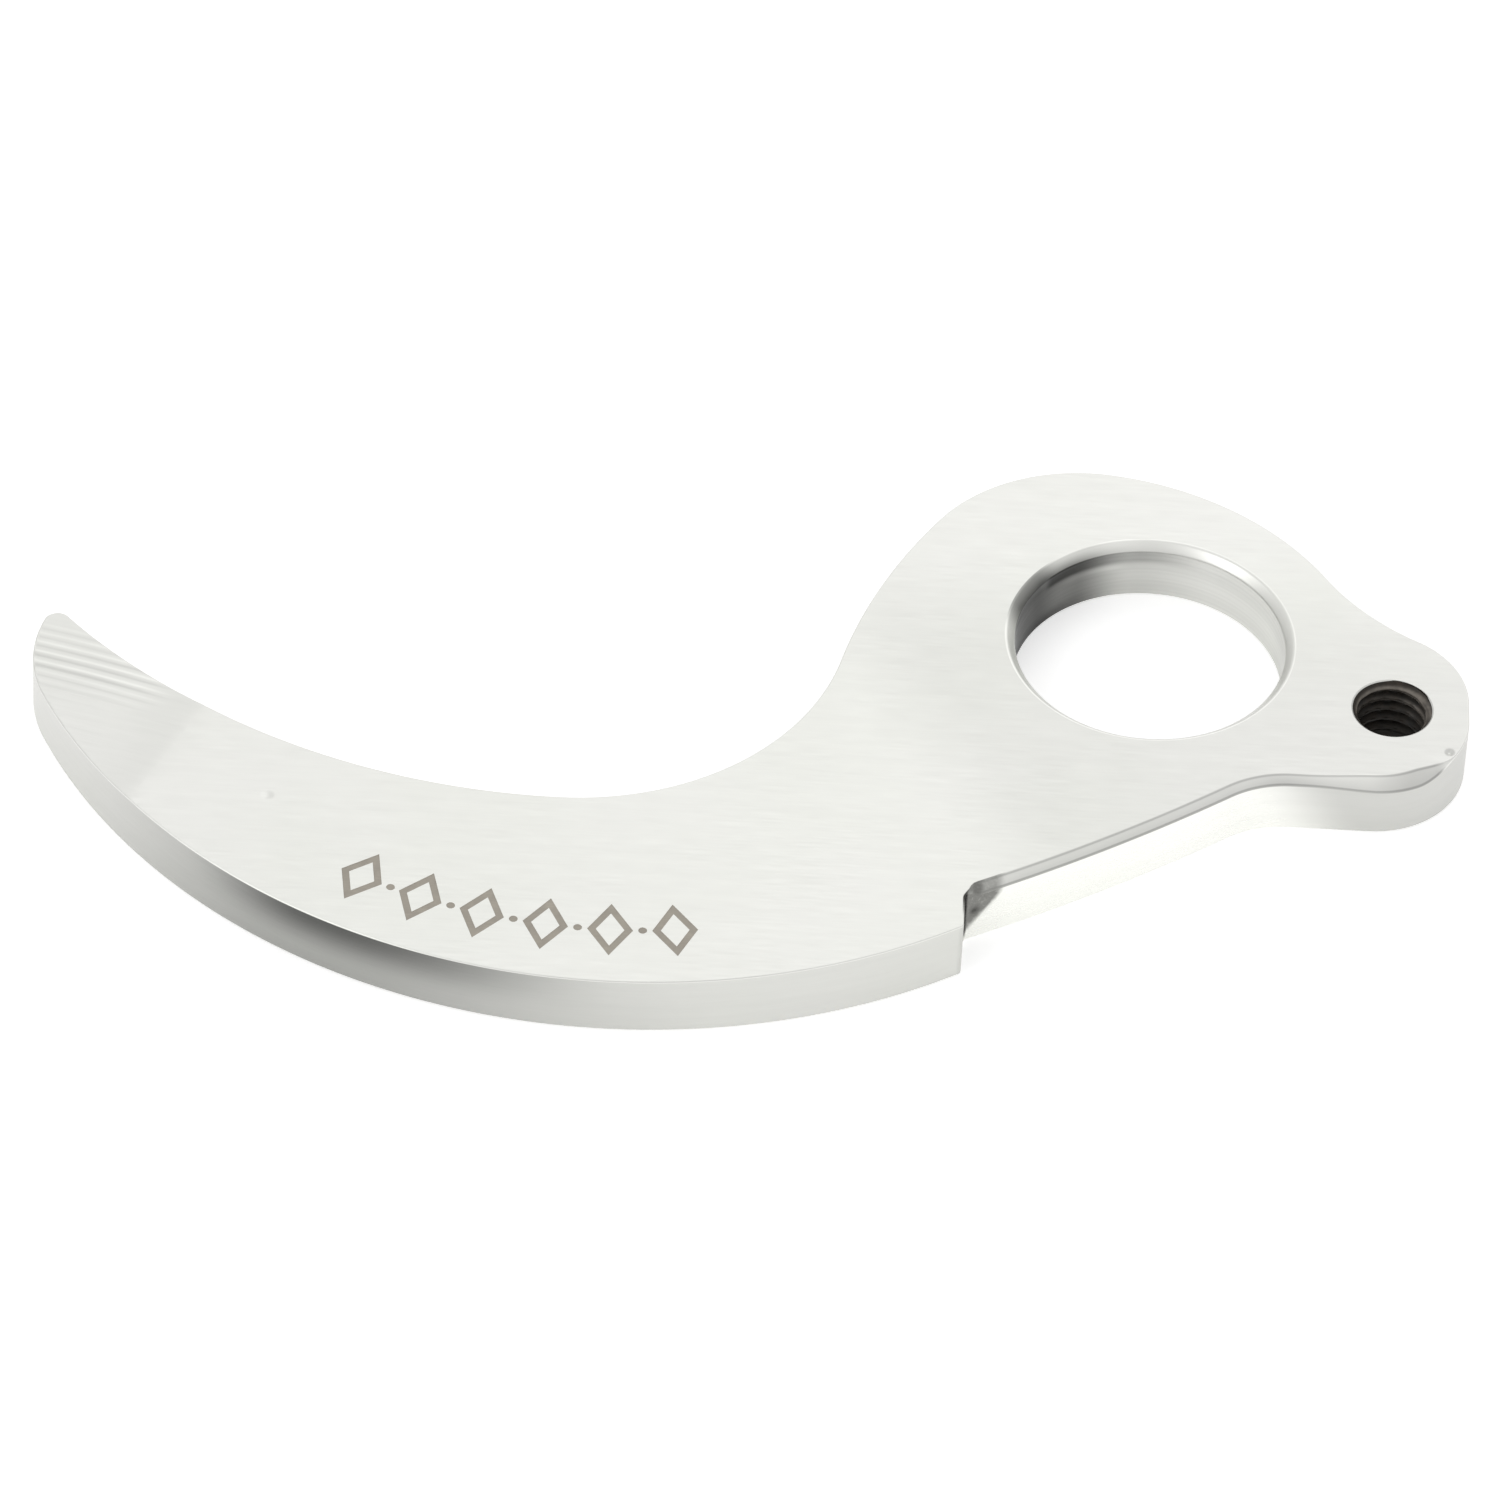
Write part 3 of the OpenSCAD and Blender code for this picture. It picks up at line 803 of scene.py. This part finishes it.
def build_underside(skin, rings):
    """The flat underside inside the given rings."""
    every = np.concatenate(skin.points)
    loops = [every[ids][:, :2] for ids in rings]
    grid = hexagons(loops[0].min(0), loops[0].max(0), FACE_STEP)
    free = far_from(grid, np.concatenate(loops), UNDER_GAP)
    points, triangles = triangulate(loops, free[within(loops, free)])
    own = points[sum(len(ids) for ids in rings):]
    added = skin.add(np.column_stack([own, np.zeros(len(own))]), *STEEL)
    ids = np.concatenate(list(rings) + [added])
    for triangle in triangles:
        skin.face(ids[triangle][::-1], [tuple(p) for p in points[triangle][::-1]])


# --- materials ------------------------------------------------------------------------------------

class Nodes:
    """Short calls for building a material's nodes."""

    def __init__(self, name):
        self.material = bpy.data.materials.new(name)
        self.material.use_nodes = True
        self.tree = self.material.node_tree
        self.shader = self.tree.nodes["Principled BSDF"]

    def link(self, value, socket):
        if isinstance(value, bpy.types.NodeSocket):
            self.tree.links.new(value, socket)
        else:
            socket.default_value = value

    def math(self, operation, a, b=0.0, clamp=False):
        node = self.tree.nodes.new("ShaderNodeMath")
        node.operation, node.use_clamp = operation, clamp
        self.link(a, node.inputs[0])
        self.link(b, node.inputs[1])
        return node.outputs[0]

    def mix(self, factor, a, b):
        node = self.tree.nodes.new("ShaderNodeMix")
        node.data_type = "RGBA"
        self.link(factor, node.inputs[0])
        self.link(a, node.inputs[6])
        self.link(b, node.inputs[7])
        return node.outputs[2]

    def attribute(self, name):
        node = self.tree.nodes.new("ShaderNodeAttribute")
        node.attribute_name = name
        return node.outputs["Fac"]

    def grain(self, along, across):
        """Coordinates along and across the grain in mm, each times its number."""
        source = self.tree.nodes.new("ShaderNodeUVMap")
        source.uv_map = "grain"
        node = self.tree.nodes.new("ShaderNodeMapping")
        node.inputs["Scale"].default_value = (along, across, 1)
        self.link(source.outputs[0], node.inputs[0])
        return node.outputs[0]

    def body(self):
        """The object's own coordinates, in metres."""
        return self.tree.nodes.new("ShaderNodeTexCoord").outputs["Object"]

    def noise(self, vector, scale, detail=2.0, roughness=0.5):
        node = self.tree.nodes.new("ShaderNodeTexNoise")
        node.inputs["Scale"].default_value = scale
        node.inputs["Detail"].default_value = detail
        node.inputs["Roughness"].default_value = roughness
        self.link(vector, node.inputs["Vector"])
        return node.outputs["Fac"]

    def span(self, value, low, high, to_low, to_high):
        """value from low..high carried over to to_low..to_high, and held there outside."""
        node = self.tree.nodes.new("ShaderNodeMapRange")
        for socket, v in zip(node.inputs, (value, low, high, to_low, to_high)):
            self.link(v, socket)
        return node.outputs[0]

    def bump(self, height, distance, strength=1.0, after=None):
        node = self.tree.nodes.new("ShaderNodeBump")
        node.inputs["Strength"].default_value = strength
        node.inputs["Distance"].default_value = distance
        self.link(height, node.inputs["Height"])
        if after is not None:
            self.link(after, node.inputs["Normal"])
        return node.outputs[0]


STEEL_COLOURS = ((0.80, 0.805, 0.765, 1), (0.80, 0.80, 0.77, 1))
# colours of the painted shade and the painted shadow in the heel's corner
HEEL_SHADE_COLOUR, HEEL_SHADOW_COLOUR = (0.25, 0.25, 0.235, 1), (0.012, 0.011, 0.009, 1)
ETCH_COLOURS = ((0.37, 0.34, 0.295, 1), (0.52, 0.485, 0.42, 1))
OXIDE_COLOURS = ((0.006, 0.005, 0.003, 1), (0.03, 0.022, 0.015, 1))
# brown of the worn oxide, which also carries the thread's painted highlight
WORN_AND_LIT_COLOUR = (0.30, 0.27, 0.235, 1)


def steel_material():
    """Finely ground steel. The points' own tone, scale and gloss say how it is finished where they are, and
    where light and shade are painted on it.
    """
    n = Nodes("ground_steel")
    fine = n.noise(n.grain(0.35, 7.0), 1.0, 3.0, 0.6)
    streaks = n.noise(n.grain(0.06, 1.1), 1.0, 2.0)
    clouds = n.noise(n.body(), 55.0, 2.0)
    specks = n.noise(n.body(), 2600.0, 3.0, 0.7)
    tone = n.math("MULTIPLY", n.attribute("tone"), n.span(streaks, 0.3, 0.7, 0.985, 1.012))
    tone = n.math("MULTIPLY", tone, n.span(clouds, 0.3, 0.7, 0.985, 1.01))
    clean = n.mix(n.span(clouds, 0.35, 0.65, 0.0, 1.0), *STEEL_COLOURS)
    toned = n.tree.nodes.new("ShaderNodeVectorMath")
    toned.operation = "SCALE"
    n.link(clean, toned.inputs[0])
    n.link(tone, toned.inputs["Scale"])
    # the heel corner's painted shade in grey, and its painted shadow in black
    grey = n.math("MULTIPLY", n.attribute("scale"), n.span(specks, 0.3, 0.62, 0.85, 1.15), True)
    black = n.math("SUBTRACT", n.attribute("scale"), 1.0, True)
    black = n.math("MULTIPLY", black, n.span(specks, 0.3, 0.6, 0.8, 1.2), True)
    colour = n.mix(black, n.mix(grey, toned.outputs[0], HEEL_SHADE_COLOUR), HEEL_SHADOW_COLOUR)
    n.link(colour, n.shader.inputs["Base Color"])
    n.shader.inputs["Metallic"].default_value = 1.0
    rough = n.span(fine, 0.3, 0.7, 0.36, 0.46)
    rough = n.math("ADD", rough, n.math("MULTIPLY", n.attribute("gloss"), -0.22))
    rough = n.math("ADD", rough, n.math("MULTIPLY", grey, 0.25))
    n.link(rough, n.shader.inputs["Roughness"])
    bump = n.bump(fine, 0.000004, 0.5)
    bump = n.bump(n.math("MULTIPLY", specks, n.attribute("scale")), 0.0001, 0.8, bump)
    n.link(bump, n.shader.inputs["Normal"])
    return n.material


def etched_material():
    """Laser-etched steel: matt, warm grey, in fine passes."""
    n = Nodes("etched_steel")
    cloud = n.noise(n.body(), 900.0, 3.0, 0.6)
    passes = n.noise(n.grain(0.5, 14.0), 1.0, 2.0)
    light = n.math("MULTIPLY", n.span(cloud, 0.3, 0.7, 0.0, 1.0), n.span(passes, 0.35, 0.65, 0.6, 1.0))
    n.link(n.mix(light, *ETCH_COLOURS), n.shader.inputs["Base Color"])
    n.shader.inputs["Metallic"].default_value = 0.75
    n.link(n.span(cloud, 0.3, 0.7, 0.55, 0.72), n.shader.inputs["Roughness"])
    n.link(n.bump(passes, 0.00001, 0.6), n.shader.inputs["Normal"])
    return n.material


def thread_material():
    """The tapped hole's black oxide, worn to brown on the crests, where the brown also carries a painted
    highlight.
    """
    n = Nodes("black_oxide")
    cloud = n.noise(n.body(), 1500.0, 3.0, 0.6)
    oxide = n.mix(n.span(cloud, 0.35, 0.65, 0.0, 1.0), *OXIDE_COLOURS)
    wear_and_highlight = n.math("MULTIPLY", n.attribute("gloss"), n.span(cloud, 0.3, 0.7, 0.6, 1.2), True)
    n.link(n.mix(wear_and_highlight, oxide, WORN_AND_LIT_COLOUR), n.shader.inputs["Base Color"])
    n.shader.inputs["Metallic"].default_value = 0.4
    n.link(n.span(cloud, 0.3, 0.7, 0.35, 0.55), n.shader.inputs["Roughness"])
    n.link(n.bump(cloud, 0.00002, 0.5), n.shader.inputs["Normal"])
    return n.material


# --- the piece ------------------------------------------------------------------------------------

SHARP_ANGLE = 32.0  # edges that turn by more stay sharp


def build_hook():
    """The whole plate, as one mesh object."""
    skin = Skin()
    outer_top, outer_low = build_outer(skin)
    bore_top, bore_low = build_bore(skin)
    screw_top, screw_low = build_thread(skin)
    build_top(skin, (outer_top, bore_top, screw_top))
    build_underside(skin, (outer_low, bore_low, screw_low))
    mesh = bpy.data.meshes.new("hook_blade")
    mesh.from_pydata((np.concatenate(skin.points) * MM).tolist(), [], skin.faces)
    mesh.uv_layers.new(name="grain").data.foreach_set("uv", np.array(skin.grain, np.float32).ravel())
    mesh.polygons.foreach_set("material_index", skin.materials)
    finish = np.concatenate(skin.finish)
    for k, name in enumerate(("tone", "scale", "gloss")):
        values = mesh.attributes.new(name, "FLOAT", "POINT").data
        values.foreach_set("value", finish[:, k].astype(np.float32))
    for material in (steel_material(), etched_material(), thread_material()):
        mesh.materials.append(material)
    mesh.shade_smooth()
    mesh.set_sharp_from_angle(angle=math.radians(SHARP_ANGLE))
    mesh.update()
    hook = bpy.data.objects.new("hook_blade", mesh)
    bpy.context.scene.collection.objects.link(hook)
    return hook


# --- the set --------------------------------------------------------------------------------------

TABLE_HALF, TABLE_GAP = 2.0, 0.00005
TABLE_COLOUR, TABLE_GLOW = (0.86, 0.86, 0.86, 1), 0.45
WORLD_STRENGTH = 0.75
LIT_POINT = (-0.03, -0.01, 0)
# name, place, size in metres and power in watts
SOFTBOXES = (
    ("back_softbox", (0.15, 0.75, 0.8), 0.9, 1.1),
    ("left_softbox", (-0.68, -0.4, 0.6), 0.6, 1.3),
    ("front_right_softbox", (0.7, -0.6, 0.35), 0.9, 0.5),
)


def build_floor():
    """A pale table, evenly lit from below, as for a product photograph."""
    mesh = bpy.data.meshes.new("table")
    corners = [(TABLE_HALF * x, TABLE_HALF * y, 0) for x, y in ((-1, -1), (1, -1), (1, 1), (-1, 1))]
    mesh.from_pydata(corners, [], [(0, 1, 2, 3)])
    floor = bpy.data.objects.new("table", mesh)
    floor.location.z = -TABLE_GAP
    bpy.context.scene.collection.objects.link(floor)
    n = Nodes("table")
    n.shader.inputs["Base Color"].default_value = TABLE_COLOUR
    n.shader.inputs["Roughness"].default_value = 0.9
    n.shader.inputs["Emission Color"].default_value = (1, 1, 1, 1)
    n.shader.inputs["Emission Strength"].default_value = TABLE_GLOW
    mesh.materials.append(n.material)


def softbox(name, at, size, power):
    """A round soft light that faces the part."""
    light = bpy.data.lights.new(name, "AREA")
    light.shape = "DISK"
    light.size = size
    light.energy = power
    lamp = bpy.data.objects.new(name, light)
    lamp.location = at
    lamp.rotation_euler = (Vector(LIT_POINT) - Vector(at)).to_track_quat("-Z", "Y").to_euler()
    bpy.context.scene.collection.objects.link(lamp)


def build_lights():
    """Even white surroundings and the softboxes."""
    world = bpy.data.worlds.new("studio")
    world.use_nodes = True
    back = world.node_tree.nodes["Background"]
    back.inputs["Color"].default_value = (1, 1, 1, 1)
    back.inputs["Strength"].default_value = WORLD_STRENGTH
    bpy.context.scene.world = world
    for name, at, size, power in SOFTBOXES:
        softbox(name, at, size, power)


CAMERA_AT = (-0.02909, -0.58246, 0.55901)
CAMERA_DOWN, CAMERA_ROLL, CAMERA_LENS = 44.26, 2.99, 261.4  # degrees, degrees, mm


def build_camera():
    """A long lens in front of the part, looking down at it."""
    data = bpy.data.cameras.new("camera")
    data.lens, data.sensor_width = CAMERA_LENS, 36
    camera = bpy.data.objects.new("camera", data)
    tilt = Euler((math.radians(90 - CAMERA_DOWN), 0, 0)).to_matrix()
    roll = Euler((0, 0, math.radians(CAMERA_ROLL))).to_matrix()
    camera.matrix_world = (tilt @ roll).to_4x4()
    camera.location = CAMERA_AT
    bpy.context.scene.collection.objects.link(camera)
    bpy.context.scene.camera = camera


build_camera()
build_floor()
build_lights()
bpy.context.scene.view_settings.view_transform = "Standard"
hook = build_hook()
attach(hook, "root")
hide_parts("hook")
